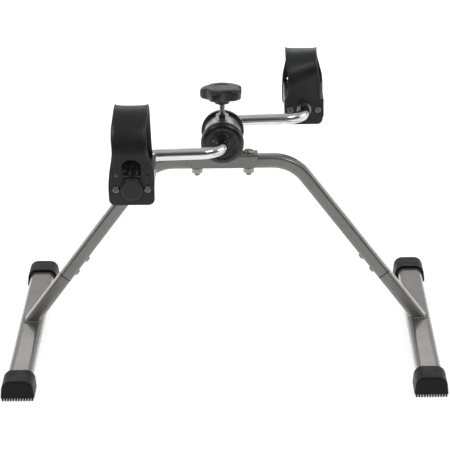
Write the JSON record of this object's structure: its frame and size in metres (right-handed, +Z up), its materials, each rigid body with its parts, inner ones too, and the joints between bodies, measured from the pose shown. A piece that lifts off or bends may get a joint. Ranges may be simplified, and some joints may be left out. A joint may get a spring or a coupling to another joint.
{
  "type": "pedal exerciser",
  "caption": "Free-standing bent-tube pedal exerciser with a braked crank, tension knob, strapped pedals and ribbed rubber foot caps.",
  "frame": {"origin": "on the floor, under the middle of the stand", "axes": "+X across the stand from base tube to base tube, +Y along the crank's shaft, +Z up"},
  "size_m": [0.5086, 0.4, 0.3298],
  "materials": {
    "frame_paint": "gloss",
    "foot_rubber": "satin",
    "strap_rubber": "satin",
    "black_plastic": "satin",
    "crank_chrome": "polished",
    "drum_steel": "satin",
    "zinc_steel": "satin",
    "nylon": "satin",
    "brake_lining": "matte"
  },
  "bodies": {
    "frame": {"base_tube_left": "frame_paint", "base_tube_right": "frame_paint", "foot_cap_front_left": "foot_rubber", "foot_cap_front_right": "foot_rubber", "foot_cap_rear_left": "foot_rubber", "foot_cap_rear_right": "foot_rubber", "base_post_left": "frame_paint", "base_post_right": "frame_paint", "arch_tube": "frame_paint", "leg_screws_left": "zinc_steel", "leg_screws_right": "zinc_steel", "saddle_bracket": "frame_paint", "saddle_bolts": "zinc_steel", "saddle_washers": "zinc_steel", "saddle_nuts": "zinc_steel", "hub_drum": "drum_steel", "hub_bush_front": "nylon", "hub_bush_rear": "nylon", "hub_cap_front": "black_plastic", "hub_cap_rear": "black_plastic", "tension_nut": "zinc_steel"},
    "brake": {"brake_shoe": "zinc_steel", "brake_lining": "brake_lining"},
    "knob": {"tension_knob": "black_plastic", "tension_screw": "zinc_steel"},
    "crank": {"crank_front": "crank_chrome", "crank_rear": "crank_chrome", "brake_sleeve": "zinc_steel", "sleeve_pins": "zinc_steel", "spindle_washers_front": "zinc_steel", "spindle_washers_rear": "zinc_steel", "spindle_nut_front": "zinc_steel", "spindle_nut_rear": "zinc_steel"},
    "pedal_front": {"pedal_body_front": "black_plastic", "pedal_strap_front": "strap_rubber", "pedal_bush_inner_front": "nylon", "pedal_bush_outer_front": "nylon", "pedal_end_cap_front": "black_plastic", "strap_screws_inner_front": "zinc_steel", "strap_screws_outer_front": "zinc_steel"},
    "pedal_rear": {"pedal_body_rear": "black_plastic", "pedal_strap_rear": "strap_rubber", "pedal_bush_inner_rear": "nylon", "pedal_bush_outer_rear": "nylon", "pedal_end_cap_rear": "black_plastic", "strap_screws_inner_rear": "zinc_steel", "strap_screws_outer_rear": "zinc_steel"}
  },
  "joints": [
    {"name": "screw_travel", "type": "slide", "parent": "frame", "child": "brake", "axis": [0, 0, 1], "range_m": [-0.0008, 0.0015]},
    {"name": "knob_turn", "type": "hinge", "parent": "brake", "child": "knob", "pos_m": [0, 0, 0.3], "axis": [0, 0, 1], "range_deg": [-285, 537]},
    {"name": "crank_spin", "type": "hinge", "parent": "frame", "child": "crank", "pos_m": [0, 0, 0.25], "axis": [0, 1, 0], "continuous": true},
    {"name": "pedal_front_spin", "type": "hinge", "parent": "crank", "child": "pedal_front", "pos_m": [-0.09897, -0.14375, 0.24775], "axis": [0, 1, 0], "continuous": true},
    {"name": "pedal_rear_spin", "type": "hinge", "parent": "crank", "child": "pedal_rear", "pos_m": [0.09897, 0.14375, 0.25225], "axis": [0, 1, 0], "continuous": true}
  ],
  "couplings": [
    {"joint": "screw_travel", "follows": "knob_turn", "m_per_rad": 0.00015915}
  ]
}
